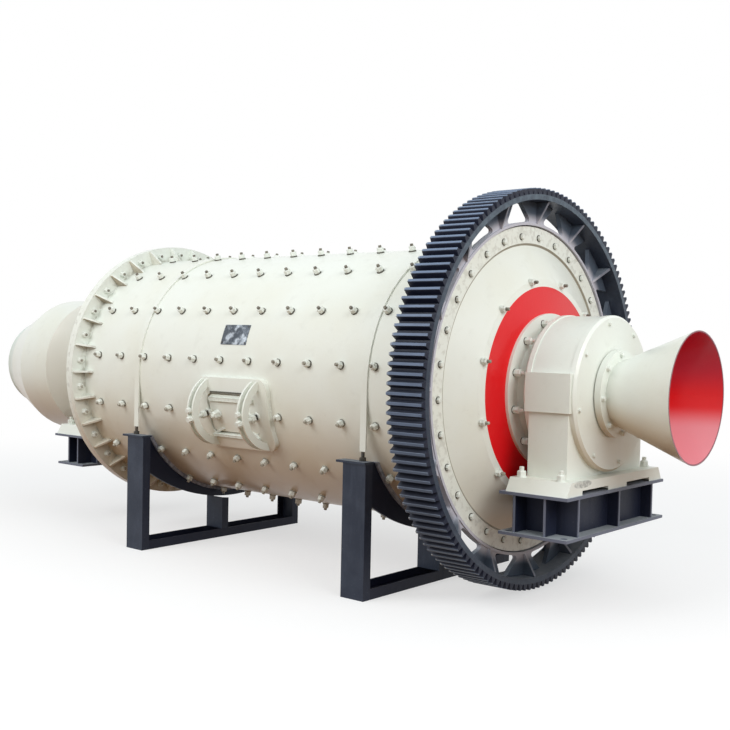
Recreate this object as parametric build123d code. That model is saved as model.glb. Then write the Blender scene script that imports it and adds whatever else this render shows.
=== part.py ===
from build123d import *
import os
from math import cos, sin, radians, degrees, pi, sqrt, hypot

# Ball mill, held on two transport stands. Millimetres, Z up.
# X runs along the mill's axis towards the discharge end; the manhole faces -Y.
# The pieces are modelled with x = 0 at the feed end's flange face and z = 0 on the axis,
# and moved at the end so that the origin is on the ground under the middle of the mill.

# Shell
shell_length = 3000.0            # over the outer faces of the two end cover flanges
shell_radius = 770.0
shell_plate = 25.0
flange_height = 98.0             # above the shell
flange_plate = 30.0
gusset_count = 30
gusset_phase = 82.94             # degrees from -Y towards +Z, of one gusset
gusset_plate = 12.0
gusset_reach = 95.0              # along the shell
gusset_lip = 15.0                # straight edge at the flange
seat_gap = 0.3                   # under a piece set on a curved face

# Girth gear
tooth_count = 144
gear_depth = 174.0               # from the collar to the tips of the teeth
pressure_angle = 20.0
gear_width = 208.0
gear_overhang = 93.0             # of the rim past the end cover's flange face
rim_thickness = 28.0
arm_count = 16
arm_phase = 80.0                 # degrees from -Y towards +Z, at the middle of one opening
web_plate = 25.0
web_offset = 5.0                 # of the web's outer face past the end cover's flange face
gear_lip = 40.0                  # the bolted ring between the shell and cover flanges
shell_flange_drop = 18.0         # of the shell's flange at the gear, inside the cover's flange
collar_lip = 20.0                # of the collar outside the cover's flange
collar_overhang = 12.0
collar_recess = 6.0              # around the cover's flange
opening_foot_angle = 15.0        # degrees, at the collar
opening_tip_width = 64.0
opening_corner = 13.0
rib_plate = 14.0
rib_inset = 10.0                 # of the rib from the rim's face

# End covers, measured outwards from the flange face
cover_face = 90.0                # width of the bolted face
cover_step = 8.0
cover_knuckle_inset = 185.0      # inside the shell's radius
cover_knuckle_out = 82.0
cover_out = 112.0
cover_plate = 35.0

# Trunnions
trunnion_flange_radius = 406.0
trunnion_flange = 16.0
trunnion_root_radius = 320.0
trunnion_root = 72.0
journal_radius = 240.0
neck_radius = 205.0
trunnion_bore = 150.0
bearing_out_discharge = 357.0    # end cover flange face to the middle of the bearing
bearing_out_feed = 484.0
journal_clearance = 0.08

# Trumpet and drum feeder
hub_radius = 222.0
hub_plate = 34.0
hub_gap = 8.0                    # between the bearing's outer disc and the hub
trumpet_length = 404.0
trumpet_root_radius = 166.0
trumpet_mouth_radius = 327.0
trumpet_plate = 8.0
feeder_root_length = 164.0
feeder_drum_radius = 497.0
feeder_drum_length = 337.0
feeder_cone_length = 447.0
feeder_mouth_radius = 338.0
feeder_plate = 10.0
feeder_rim = 22.0

# Bearings
housing_width = 222.0            # along the axis
housing_radius = 392.0
shoulder_width = 252.0
shoulder_lip = 18.0              # past the housing's side
shoulder_above = 105.0
shoulder_below = 88.0
disc_lip = 5.0                   # outside the housing
disc_plate = 37.0
disc_clearance = 5.0
disc_bevel = 12.0
base_top = 410.0                 # below the axis
base_height = 67.0
base_inner = 160.0               # from the bearing's middle towards the drum
base_outer = 183.0
base_reach = 508.0               # at the foot of its sloped ends
base_slope = 38.0
base_slot_height = 22.0
base_slot_near = 230.0           # from the middle to the slot's middle
base_slot_length = 262.0

# Pedestals
pedestal_height = 213.0
pedestal_plate = 15.0
pedestal_top_width = 385.0
pedestal_reach = 517.0
pedestal_foot_width_discharge = 387.0
pedestal_foot_width_feed = 300.0
pedestal_side_inset = 70.0       # of the core's side webs from the narrower plate's edge
pedestal_end_inset = 117.0
pedestal_web = 12.0
pedestal_middle_fin = 20.0
foot_hole = 34.0
foot_hole_inset = 38.0

# Manhole
manhole_offset = 5.0             # from the shell's middle towards the discharge end
manhole_angle = -14.4            # degrees from -Y towards +Z
manhole_frame_length = 600.0
manhole_frame_angle = 31.0
manhole_frame_height = 30.0
manhole_frame_corner = 70.0
manhole_door_length = 400.0
manhole_door_angle = 17.5
manhole_door_corner = 40.0
manhole_door_gap = 8.0
manhole_door_plate = 22.0
bow_inset = 90.0                 # of a bow's middle from the frame's end
bow_radius = 208.0
bow_depth = 42.0
bow_height = 155.0               # of the bow's back above its two feet
bow_plate = 12.0
bow_gap = 30.0

# Stands
ground_gap = 18.0                # under the gear's teeth
stand_feed_inset = 670.0         # from the end cover's flange face to the stand's middle
stand_discharge_inset = 522.0
strap_feed_inset = 625.0
strap_discharge_inset = 500.0
channel_width = 155.0
channel_depth = 54.0
channel_plate = 8.0
post_standoff = 45.0             # of the near post's outer face from the shell's side
middle_post_y = -152.0
far_post_inset = 288.0           # nearer the middle plane than the near post
anchor_length = 230.0
web_depth_feed = 39.3            # under the saddle, at the middle
web_depth_discharge = 20.0
web_rise_feed = 272.0            # of the web's lower edge, from its middle to the posts
web_rise_discharge = 232.0
stand_web = 16.0
saddle_plate = 22.0
saddle_clearance = 0.7
strap_width = 40.0
strap_plate = 8.0
strap_stand = 60.0               # of the strap's end above the top of the post
cap_plate = 12.0
cap_overhang = 42.0              # past the post towards the feed end
cap_lip = 8.0
rod_diameter = 18.0

# Derived radii, heights and stations
shell_bore = shell_radius - shell_plate
flange_radius = shell_radius + flange_height
shell_flange_radius = flange_radius - shell_flange_drop
collar_radius = flange_radius + collar_lip
tip_radius = collar_radius + gear_depth
tooth_module = tip_radius / (tooth_count / 2 + 1)
pitch_radius = tip_radius - tooth_module
root_radius = pitch_radius - 1.25 * tooth_module
rim_bore = root_radius - rim_thickness
axis_height = tip_radius + ground_gap
cover_step_radius = flange_radius - cover_face
cover_knuckle_radius = shell_radius - cover_knuckle_inset
manhole_x = shell_length / 2 + manhole_offset
bow_out = manhole_frame_length / 2 - bow_inset
saddle_radius = shell_radius + saddle_clearance
saddle_foot = saddle_radius + saddle_plate
strap_middle = saddle_radius + strap_plate / 2
post_top = shell_radius / 2
post_reach = shell_radius + post_standoff
post_back = post_reach - channel_depth
far_post_reach = post_reach - far_post_inset
strap_end = post_top - strap_stand
housing_out = housing_width / 2
shoulder_reach = housing_radius + shoulder_lip
disc_radius = housing_radius + disc_lip
disc_out = housing_out + disc_plate
hub_out = disc_out + hub_gap


def turned(*points):
    """A full turn about the mill's axis of a profile given as (x, radius) points."""
    return revolve(Polygon(*points, align=None), Axis.X)


def ring(x0, x1, bore, radius):
    return turned((x0, bore), (x1, bore), (x1, radius), (x0, radius))


def across(x):
    """The plane square to the mill's axis at x, with Y to the right and Z up."""
    return Plane(origin=(x, 0, 0), x_dir=(0, 1, 0), z_dir=(1, 0, 0))


def turn(angle):
    """Turns a piece drawn on the +Y side to an angle measured from -Y towards +Z."""
    return Rot(X=180 - angle)


def slab(x0, x1, y0, y1, z0, z1):
    return Pos((x0 + x1) / 2, (y0 + y1) / 2, (z0 + z1) / 2) * Box(abs(x1 - x0), abs(y1 - y0), abs(z1 - z0))


def at_discharge(piece):
    return Pos(shell_length, 0, 0) * piece


def at_feed(piece):
    return mirror(piece, Plane.YZ)


# Shell and its flanges
def window(length, angle, corner, inner, outer):
    """A block over the manhole, with rounded corners, between two radii about the mill's axis."""
    middle = (inner + outer) / 2
    block = extrude(RectangleRounded(length, 2 * middle * sin(radians(angle / 2)), corner), 2 * outer)
    block = Pos(manhole_x, 0, 0) * Rot(X=90 - manhole_angle) * block
    return block & ring(manhole_x - length, manhole_x + length, inner, outer)


def shell():
    tube = ring(flange_plate, shell_length - flange_plate - gear_lip, shell_bore, shell_radius)
    return tube - window(manhole_door_length - 2 * manhole_door_corner, manhole_door_angle * 0.8,
                         manhole_door_corner, shell_bore - shell_plate, shell_radius + shell_plate)


def feed_flange():
    return ring(flange_plate, 2 * flange_plate, shell_radius, flange_radius)


def gussets():
    face, seat = 2 * flange_plate, shell_radius + seat_gap
    outline = Polygon((face, seat), (face, flange_radius - gusset_lip / 2),
                      (face + gusset_lip, flange_radius - gusset_lip / 2),
                      (face + gusset_reach, seat + gusset_lip / 2), (face + gusset_reach, seat), align=None)
    gusset = Pos(0, 0, -gusset_plate / 2) * extrude(outline, gusset_plate)
    return [turn(gusset_phase + 360 / gusset_count * i) * gusset for i in range(gusset_count)]


def discharge_flange():
    face = shell_length - flange_plate - gear_lip
    return ring(face - flange_plate, face, shell_radius, shell_flange_radius)


# Girth gear: a spur rim on a web of flared arms, bolted between the shell and cover flanges
def tooth_outline():
    slope = sin(radians(pressure_angle)) / cos(radians(pressure_angle))
    half_pitch = pi * tooth_module / 4
    tip = (half_pitch - tooth_module * slope) / tip_radius
    root = (half_pitch + (pitch_radius - root_radius) * slope) / root_radius
    points = []
    for i in range(tooth_count):
        middle = 2 * pi * i / tooth_count
        for radius, turn in ((root_radius, -root), (tip_radius, -tip), (tip_radius, tip), (root_radius, root)):
            points.append((radius * cos(middle + turn), radius * sin(middle + turn)))
    return Polygon(*points, align=None)


def girth_gear():
    rim_x1 = shell_length + gear_overhang
    rim_x0 = rim_x1 - gear_width
    web_x1 = shell_length + web_offset
    web_x0 = web_x1 - web_plate
    lip_x1 = shell_length - flange_plate
    lip_x0 = lip_x1 - gear_lip
    collar_x1 = shell_length + collar_overhang
    recess = flange_radius + collar_recess

    rim = extrude(across(rim_x0) * (tooth_outline() - Circle(rim_bore)), gear_width)
    web = turned((lip_x0, shell_bore), (lip_x0, shell_flange_radius), (lip_x1, collar_radius),
                 (web_x0, collar_radius), (web_x0, rim_bore + 1), (web_x1, rim_bore + 1),
                 (web_x1, collar_radius), (collar_x1, collar_radius), (collar_x1, recess),
                 (lip_x1, recess), (lip_x1, shell_bore))

    foot = collar_radius * sin(radians(opening_foot_angle / 2))
    opening = Polygon((collar_radius, -foot), (rim_bore, -opening_tip_width / 2),
                      (rim_bore, opening_tip_width / 2), (collar_radius, foot), align=None)
    opening = fillet(opening.vertices(), opening_corner)
    cut = extrude(across(web_x0 - 1) * opening, web_plate + 2)
    step = 360 / arm_count
    web -= [turn(arm_phase + step * i) * cut for i in range(arm_count)]

    def rib(x_web, x_collar, x_rim):
        outline = Polygon((x_web, collar_radius - 8), (x_collar, collar_radius - 8), (x_rim, rim_bore + 1),
                          (x_web, rim_bore + 1), align=None)
        return Pos(0, 0, -rib_plate / 2) * extrude(outline, rib_plate)

    outer = rib(web_x1 - 1, collar_x1 - 2, rim_x1 - rib_inset)
    inner = rib(web_x0 + 1, web_x0 - 8, rim_x0 + rib_inset)
    ribs = [turn(arm_phase + step * (i + 0.5)) * piece for i in range(arm_count) for piece in (outer, inner)]
    return rim + web + ribs


# End covers and trunnions, drawn for the discharge end with x = 0 at the flange face
def end_cover():
    bore = trunnion_bore + 10
    knuckle = Vector(cover_knuckle_out, cover_knuckle_radius)
    seat = trunnion_flange_radius
    return turned((-flange_plate, flange_radius), (0, flange_radius), (0, cover_step_radius),
                  (-cover_step, cover_step_radius - cover_step), (knuckle.X, knuckle.Y), (cover_out, seat + 5),
                  (cover_out, bore), (cover_out - cover_plate, bore), (cover_out - cover_plate, seat),
                  (knuckle.X - cover_plate, knuckle.Y - 5), (-flange_plate, shell_bore))


def trunnion(bearing_out):
    end = bearing_out + hub_out
    flange = cover_out + trunnion_flange
    return turned((cover_out, trunnion_bore), (cover_out, trunnion_flange_radius), (flange, trunnion_flange_radius),
                  (flange, trunnion_root_radius), (flange + trunnion_root, journal_radius),
                  (bearing_out + housing_out, journal_radius), (bearing_out + housing_out, neck_radius),
                  (end, neck_radius), (end, trunnion_bore))


def hub(bearing_out):
    start = bearing_out + hub_out
    return ring(start, start + hub_plate, trunnion_bore, hub_radius)


def trumpet():
    start = bearing_out_discharge + hub_out + hub_plate
    end = start + trumpet_length
    return turned((start, trumpet_root_radius - trumpet_plate), (start, trumpet_root_radius),
                  (end, trumpet_mouth_radius), (end, trumpet_mouth_radius - trumpet_plate))


def feeder():
    """The three plates of the drum feeder: its root cone, its drum and the cone of its mouth."""
    start = bearing_out_feed + hub_out + hub_plate
    drum = start + feeder_root_length
    cone = drum + feeder_drum_length
    end = cone + feeder_cone_length
    slope = (feeder_drum_radius - trumpet_root_radius) / feeder_root_length
    wall = feeder_plate * hypot(1, slope) / slope
    drum_bore = feeder_drum_radius - feeder_plate
    mouth_bore = feeder_mouth_radius - feeder_plate
    root = turned((start, trumpet_root_radius), (drum, feeder_drum_radius),
                  (drum, feeder_drum_radius - wall * slope),
                  (start + wall - feeder_plate / slope, trumpet_root_radius - feeder_plate),
                  (start, trumpet_root_radius - feeder_plate))
    mouth = turned((cone, feeder_drum_radius), (end - feeder_rim, feeder_mouth_radius), (end, feeder_mouth_radius),
                   (end, mouth_bore), (end - feeder_rim, mouth_bore), (cone, drum_bore))
    return root, ring(drum, cone, drum_bore, feeder_drum_radius), mouth


# Bearings, drawn with x = 0 in the middle of the bearing and +X outwards
def journal_bore():
    radius = journal_radius + journal_clearance
    return Rot(Y=90) * Cylinder(radius, 2 * shoulder_width)


def bearing_base():
    body = slab(-housing_out, housing_out, -housing_radius, housing_radius, -base_top, 0)
    shoulder = slab(-shoulder_width / 2, shoulder_width / 2, -shoulder_reach, shoulder_reach, -shoulder_below, 0)
    foot, top, top_reach = -base_top - base_height, -base_top, base_reach - base_slope
    side = Polygon((-base_reach, foot), (base_reach, foot), (top_reach, top), (-top_reach, top), align=None)
    block = extrude(across(-base_inner) * side, base_inner + base_outer)
    slots = [slab(-2 * base_inner, 2 * base_outer, y - base_slot_length / 2, y + base_slot_length / 2,
                  foot, foot + base_slot_height) for y in (-base_slot_near, base_slot_near)]
    return body + shoulder + block - slots - journal_bore()


def bearing_cap():
    dome = extrude(across(-housing_out) * Circle(housing_radius), housing_width)
    dome = dome & slab(-housing_out, housing_out, -housing_radius, housing_radius, 0, housing_radius)
    shoulder = slab(-shoulder_width / 2, shoulder_width / 2, -shoulder_reach, shoulder_reach, 0, shoulder_above)
    return dome + shoulder - journal_bore()


def disc_profile(x0, x1, bore):
    return turned((x0, bore), (x1, bore), (x1, disc_radius - disc_bevel), (x1 - disc_bevel, disc_radius),
                  (x0, disc_radius))


def outer_disc():
    disc = disc_profile(housing_out, disc_out, neck_radius + disc_clearance)
    return disc - slab(housing_out - 1, shoulder_width / 2, -shoulder_reach, shoulder_reach,
                       -shoulder_below, shoulder_above)


def inner_disc():
    disc = mirror(disc_profile(housing_out, disc_out, journal_radius + disc_clearance), Plane.YZ)
    return disc - slab(-shoulder_width / 2, -housing_out + 1, -shoulder_reach, shoulder_reach,
                       -shoulder_below, shoulder_above)


def pedestal(foot_width):
    top = -base_top - base_height
    foot = top - pedestal_height
    half = min(pedestal_top_width, foot_width) / 2
    core_x = half - pedestal_side_inset
    core_y = pedestal_reach - pedestal_end_inset
    core_z0, core_z1 = foot + pedestal_plate, top - pedestal_plate
    piece = slab(-pedestal_top_width / 2, pedestal_top_width / 2, -pedestal_reach, pedestal_reach, core_z1, top)
    plate = slab(-foot_width / 2, foot_width / 2, -pedestal_reach, pedestal_reach, foot, core_z0)
    hole_x, hole_y = foot_width / 2 - foot_hole_inset, pedestal_reach - foot_hole_inset
    plate -= [Pos(x, y, foot) * Cylinder(foot_hole / 2, 4 * pedestal_plate)
              for x in (-hole_x, hole_x) for y in (-hole_y, hole_y)]
    core = slab(-core_x, core_x, -core_y, core_y, core_z0, core_z1)
    core -= slab(-core_x + pedestal_web, core_x - pedestal_web, -core_y + pedestal_web, core_y - pedestal_web,
                 core_z0, core_z1)
    edge = half - 6
    rows = (pedestal_web / 2 - core_y, pedestal_middle_fin, core_y - pedestal_web / 2)
    fins = [slab(sign * core_x, sign * edge, y - pedestal_web / 2, y + pedestal_web / 2, core_z0, core_z1)
            for sign in (-1, 1) for y in rows]
    fins += [slab(x - pedestal_web / 2, x + pedestal_web / 2, sign * core_y, sign * (pedestal_reach - 12),
                  core_z0, core_z1) for sign in (-1, 1) for x in (-core_x + pedestal_web, core_x / 2)]
    return piece + plate + core + fins


# Manhole
def manhole_frame():
    top = shell_radius + manhole_frame_height
    frame = window(manhole_frame_length, manhole_frame_angle, manhole_frame_corner, shell_radius, top)
    opening = window(manhole_door_length, manhole_door_angle, manhole_door_corner,
                     shell_radius - 1, top + 1)
    return frame - opening


def manhole_door():
    gap_angle = degrees(2 * manhole_door_gap / shell_radius)
    return window(manhole_door_length - 2 * manhole_door_gap, manhole_door_angle - gap_angle,
                  manhole_door_corner - manhole_door_gap, shell_radius, shell_radius + manhole_door_plate)


def bows(x):
    seat = shell_radius + manhole_frame_height
    centre = sqrt(seat ** 2 - bow_radius ** 2 + (bow_radius - bow_height) ** 2) + bow_height - bow_radius
    arch = Pos(centre, 0) * (Circle(bow_radius) - Circle(bow_radius - bow_depth)) - Circle(seat)
    plates = []
    for start in (x - bow_gap / 2 - bow_plate, x + bow_gap / 2):
        plates.append(turn(manhole_angle) * extrude(across(start) * arch, bow_plate))
    return plates


# Stands
def channel(length):
    """A channel along +Z: its web is at y = 0 and its flanges point to +Y."""
    outline = Rectangle(channel_width, channel_depth, align=(Align.CENTER, Align.MIN))
    hollow = Pos(0, channel_plate) * Rectangle(channel_width - 2 * channel_plate, channel_depth,
                                               align=(Align.CENTER, Align.MIN))
    return extrude(outline - hollow, length)


def web_arc(depth, rise):
    """The circle of the stand web's lower edge, which rises from the middle to the posts."""
    radius = (post_back ** 2 + rise ** 2) / (2 * rise)
    return Pos(0, radius - saddle_foot - depth) * Circle(radius)


def below_post_tops(outline):
    """The part of an outline between the posts and below their tops."""
    return outline & (Pos(0, -(axis_height + post_top) / 2) * Rectangle(2 * post_back, axis_height - post_top))


def posts(x, depth, rise):
    height = axis_height - post_top
    near = Pos(x, -post_reach, -axis_height) * channel(height)
    middle = Pos(x, middle_post_y - channel_depth / 2, channel_depth - axis_height) * channel(height - channel_depth)
    far = Pos(x, far_post_reach, -axis_height) * Rot(Z=180) * channel(height)
    anchor = Pos(x, post_reach, -post_top - anchor_length) * Rot(Z=180) * channel(anchor_length)
    above_web = extrude(across(x - channel_width) * web_arc(depth, rise), 2 * channel_width)
    return [near, middle - above_web, far - above_web, anchor]


def beam(x):
    length = far_post_reach + post_reach - 2 * channel_depth
    return Pos(x, channel_depth - post_reach, -axis_height) * Rot(X=-90) * Rot(Z=180) * channel(length)


def stand_web_plate(x, depth, rise):
    outline = below_post_tops(web_arc(depth, rise) - Circle(saddle_foot))
    return extrude(across(x - stand_web / 2) * outline, stand_web)


def saddle(x):
    band = below_post_tops(Circle(saddle_foot) - Circle(saddle_radius))
    return extrude(across(x - strap_width / 2) * band, strap_width)


def caps(x):
    y0, y1 = post_back - cap_lip, post_reach + cap_lip
    x0, x1 = x - channel_width / 2 - cap_overhang, x + channel_width / 2
    return [slab(x0, x1, sign * y0, sign * y1, -post_top, -post_top + cap_plate) for sign in (-1, 1)]


def strap(x):
    band = Circle(saddle_radius + strap_plate) - Circle(saddle_radius)
    band = band & (Pos(0, shell_radius) * Rectangle(4 * shell_radius, 2 * shell_radius))
    legs = [Pos(sign * strap_middle, -strap_end / 2) * Rectangle(strap_plate, strap_end) for sign in (-1, 1)]
    return extrude(across(x - strap_width / 2) * (band + legs), strap_width)


def rods(x):
    height = post_top - cap_plate - strap_end
    return [Pos(x, sign * strap_middle, -strap_end - height / 2) * Cylinder(rod_diameter / 2, height)
            for sign in (-1, 1)]


def build():
    feeder_root, feeder_drum, feeder_mouth = feeder()
    nodes = {
        "shell": shell(),
        "feed_flange": feed_flange(),
        "feed_gussets": gussets(),
        "discharge_flange": discharge_flange(),
        "girth_gear": girth_gear(),
        "manhole_frame": manhole_frame(),
        "manhole_door": manhole_door(),
        "manhole_bow_feed": bows(manhole_x - bow_out),
        "manhole_bow_discharge": bows(manhole_x + bow_out),
        "feed_end_cover": at_feed(end_cover()),
        "feed_trunnion": at_feed(trunnion(bearing_out_feed)),
        "feed_hub": at_feed(hub(bearing_out_feed)),
        "feeder_root": at_feed(feeder_root),
        "feeder_drum": at_feed(feeder_drum),
        "feeder_mouth": at_feed(feeder_mouth),
        "discharge_end_cover": at_discharge(end_cover()),
        "discharge_trunnion": at_discharge(trunnion(bearing_out_discharge)),
        "discharge_hub": at_discharge(hub(bearing_out_discharge)),
        "discharge_trumpet": at_discharge(trumpet()),
    }
    for end, at_end, out, foot_width in (
            ("feed", at_feed, bearing_out_feed, pedestal_foot_width_feed),
            ("discharge", at_discharge, bearing_out_discharge, pedestal_foot_width_discharge)):
        middle = Pos(out, 0, 0)
        nodes[end + "_bearing_base"] = at_end(middle * bearing_base())
        nodes[end + "_bearing_cap"] = at_end(middle * bearing_cap())
        nodes[end + "_bearing_outer_disc"] = at_end(middle * outer_disc())
        nodes[end + "_bearing_inner_disc"] = at_end(middle * inner_disc())
        nodes[end + "_pedestal"] = at_end(middle * pedestal(foot_width))
    for end, x, strap_x, depth, rise in (
            ("feed", stand_feed_inset, strap_feed_inset, web_depth_feed, web_rise_feed),
            ("discharge", shell_length - stand_discharge_inset, shell_length - strap_discharge_inset,
             web_depth_discharge, web_rise_discharge)):
        nodes[end + "_stand_posts"] = posts(x, depth, rise)
        nodes[end + "_stand_beam"] = beam(x)
        nodes[end + "_stand_web"] = stand_web_plate(strap_x, depth, rise)
        nodes[end + "_stand_saddle"] = saddle(strap_x)
        nodes[end + "_stand_caps"] = caps(x)
        nodes[end + "_strap"] = strap(strap_x)
        nodes[end + "_strap_rods"] = rods(strap_x)
    return nodes


feed_end = -(bearing_out_feed + hub_out + hub_plate + feeder_root_length + feeder_drum_length + feeder_cone_length)
discharge_end = shell_length + bearing_out_discharge + hub_out + hub_plate + trumpet_length
on_ground = Pos(-(feed_end + discharge_end) / 2, 0, axis_height)
os.makedirs("parts", exist_ok=True)
for name, piece in build().items():
    solids = piece if isinstance(piece, list) else piece.solids()
    solids = [solid for item in solids for solid in item.solids()]
    moved = Compound([on_ground * solid for solid in solids])
    export_step(moved, f"parts/{name}.step")
    print(name, len(solids))
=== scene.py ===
from math import cos, radians, sin, sqrt

import bmesh
import bpy
from mathutils import Matrix, Vector


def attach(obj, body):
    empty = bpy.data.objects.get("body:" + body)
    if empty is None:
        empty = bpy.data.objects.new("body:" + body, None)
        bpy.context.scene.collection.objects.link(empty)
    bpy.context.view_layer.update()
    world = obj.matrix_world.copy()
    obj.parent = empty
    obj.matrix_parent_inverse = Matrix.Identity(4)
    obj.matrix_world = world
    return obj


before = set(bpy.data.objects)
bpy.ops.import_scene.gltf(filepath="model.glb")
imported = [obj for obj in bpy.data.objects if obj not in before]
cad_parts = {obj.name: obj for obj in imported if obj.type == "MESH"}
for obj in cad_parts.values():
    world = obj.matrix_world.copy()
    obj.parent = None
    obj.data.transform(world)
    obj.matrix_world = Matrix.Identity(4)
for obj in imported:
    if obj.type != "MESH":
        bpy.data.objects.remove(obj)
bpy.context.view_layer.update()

# The mill's visual model: finishes for the CAD pieces, fasteners and small fittings, floor, light and camera.
# Sizes are in millimetres on the mill: x = 0 at the feed end's flange face, radius and height 0 on the axis.
# Angles are measured from -Y towards +Z, so the near side is 0 and the top is 90.
MM = 0.001
X_SHIFT = -1.1645           # metres, from the mill's x to the frame's
AXIS_HEIGHT = 1.08          # metres above the ground

SHELL_RADIUS = 770
SHELL_LENGTH = 3000
FLANGE_RADIUS = 868
FLANGE_PLATE = 30
COVER_STEP_RADIUS = 778     # inside a cover's bolted face
TRUNNION_FLANGE_OUT = 128   # past the end cover's flange face
RED_RING_RADIUS = 548

GEAR_BACK_X = 2885
GEAR_FACE_X = 3093
GEAR_LIP = 40               # between the shell's and the cover's flanges
COLLAR_RADIUS = 888
RIM_BORE = 1001
TOOTH_ROOT_RADIUS = 1030
TOOTH_TIP_RADIUS = 1062
RIB_FOOT_X = 3009
RIB_FOOT_RADIUS = 880
RIB_SLOPE = 0.62            # of a rib's edge, along the mill for each millimetre outwards

FEED_BEARING_X = -484
DISCHARGE_BEARING_X = 3357
DISC_OUT = 148              # from a bearing's middle
HUB_OUT = 190
BASE_MIDDLE_OUT = 11.5
BASE_HALF_WIDTH = 171.5
BASE_OUTER_FACE = 183
BASE_TOP = -410
BASE_FOOT = -477
BASE_SLOT_END = 361         # from the middle plane
OVAL_Y, OVAL_Z = -357.5, -424
OVAL_HALF_LENGTH, OVAL_HALF_HEIGHT = 88, 19
PEDESTAL_FOOT = -690
PEDESTAL_PLATE = 15
PEDESTAL_REACH = 517
FEED_PEDESTAL_HALF = 150    # half its width along the mill
DISCHARGE_PEDESTAL_HALF = 192.5

FEEDER_END = -1622
TRUMPET_START = DISCHARGE_BEARING_X + HUB_OUT
TRUMPET_LENGTH = 404
TRUMPET_END = TRUMPET_START + TRUMPET_LENGTH
TRUMPET_ROOT_RADIUS = 166
TRUMPET_MOUTH_RADIUS = 327
TRUMPET_PLATE = 8

MANHOLE_X = 1505
MANHOLE_ANGLE = -14.4


# Shader maths
class Wire:
    """A value or colour on its way through the nodes."""

    def __init__(self, nodes, socket):
        self.nodes, self.socket = nodes, socket

    def maths(self, operation, *others):
        return self.nodes.node("Math", {"operation": operation}, dict(enumerate((self, *others))))

    def __add__(self, other):
        return self.maths("ADD", other)

    def __sub__(self, other):
        return self.maths("SUBTRACT", other)

    def __mul__(self, other):
        return self.maths("MULTIPLY", other)

    def __truediv__(self, other):
        return self.maths("DIVIDE", other)

    def __rsub__(self, other):
        return self.nodes.node("Math", {"operation": "SUBTRACT"}, {0: other, 1: self})

    __radd__ = __add__

    def ramp(self, start, end, low=0.0, high=1.0):
        """A smooth step from low to high as this value goes from start to end."""
        return self.nodes.node("MapRange", {"interpolation_type": "SMOOTHSTEP"},
                               {0: self, 1: start, 2: end, 3: low, 4: high})


class Nodes:
    """The nodes of a material or of the sky, written as expressions on wires."""

    def __init__(self, owner):
        self.owner = owner
        owner.use_nodes = True
        self.tree = owner.node_tree
        self.tree.nodes.clear()

    def node(self, kind, settings=None, inputs=None, out=0):
        node = self.tree.nodes.new("ShaderNode" + kind)
        for name, value in (settings or {}).items():
            setattr(node, name, value)
        for name, value in (inputs or {}).items():
            if isinstance(value, Wire):
                self.tree.links.new(value.socket, node.inputs[name])
            else:
                node.inputs[name].default_value = value
        return Wire(self, node.outputs[out])

    def parts(self, vector):
        split = self.node("SeparateXYZ", inputs={0: vector}).socket.node
        return [Wire(self, split.outputs[i]) for i in range(3)]

    def mix(self, amount, first, second):
        return self.node("Mix", {"data_type": "RGBA"}, {0: amount, 6: first, 7: second}, out=2)

    def seen_directly(self):
        """1 for what the camera, a reflection or glass sees, 0 for light that bounces off."""
        rays = [self.node("LightPath", out=f"Is {kind} Ray") for kind in ("Camera", "Glossy", "Transmission")]
        return rays[0].maths("MAXIMUM", rays[1]).maths("MAXIMUM", rays[2])

    def end(self, shader, output="OutputMaterial"):
        last = self.tree.nodes.new("ShaderNode" + output)
        self.tree.links.new(shader.socket, last.inputs[0])
        return self.owner


class Finish(Nodes):
    """A finish whose pattern follows the place on the mill; its x, y and z are millimetres on the mill."""

    def __init__(self, name):
        super().__init__(bpy.data.materials.new(name))
        self.place = self.node("TexCoord", out="Object")
        x, y, z = self.parts(self.place)
        self.x, self.y, self.z = (x - X_SHIFT) / MM, y / MM, (z - AXIS_HEIGHT) / MM

    def noise(self, scale, detail=3, stretch=(1, 1, 1)):
        """Noise of about 0 to 1; the scale is in waves per metre."""
        at = self.node("Mapping", inputs={0: self.place, 3: stretch})
        return self.node("TexNoise", inputs={"Vector": at, "Scale": scale, "Detail": detail})

    def from_axis(self):
        """Distance from the mill's axis, in millimetres."""
        return (self.y * self.y + self.z * self.z).maths("SQRT")

    def direction(self):
        """The surface's direction, as its shares of x, y and z."""
        return self.parts(self.node("NewGeometry", out="Normal"))

    def facing_up(self):
        """How far the surface faces up: 1 on a level top, 0 on a wall, -1 underneath."""
        return self.direction()[2]

    def touched(self, colour, touches):
        """The colour with the touches of one piece over it."""
        for mask, tint in touches(self) if touches else ():
            colour = self.mix(mask, colour, tint)
        return colour

    def surface(self, colour, roughness, height, depth, fixed=None):
        """Ends the finish; height is 0 to 1, its depth is in millimetres and fixed holds plain values."""
        bump = self.node("Bump", inputs={"Strength": 1.0, "Distance": depth * MM, "Height": height})
        inputs = {"Base Color": colour, "Roughness": roughness, "Normal": bump}
        return self.end(self.node("BsdfPrincipled", inputs=inputs | (fixed or {})))


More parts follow.
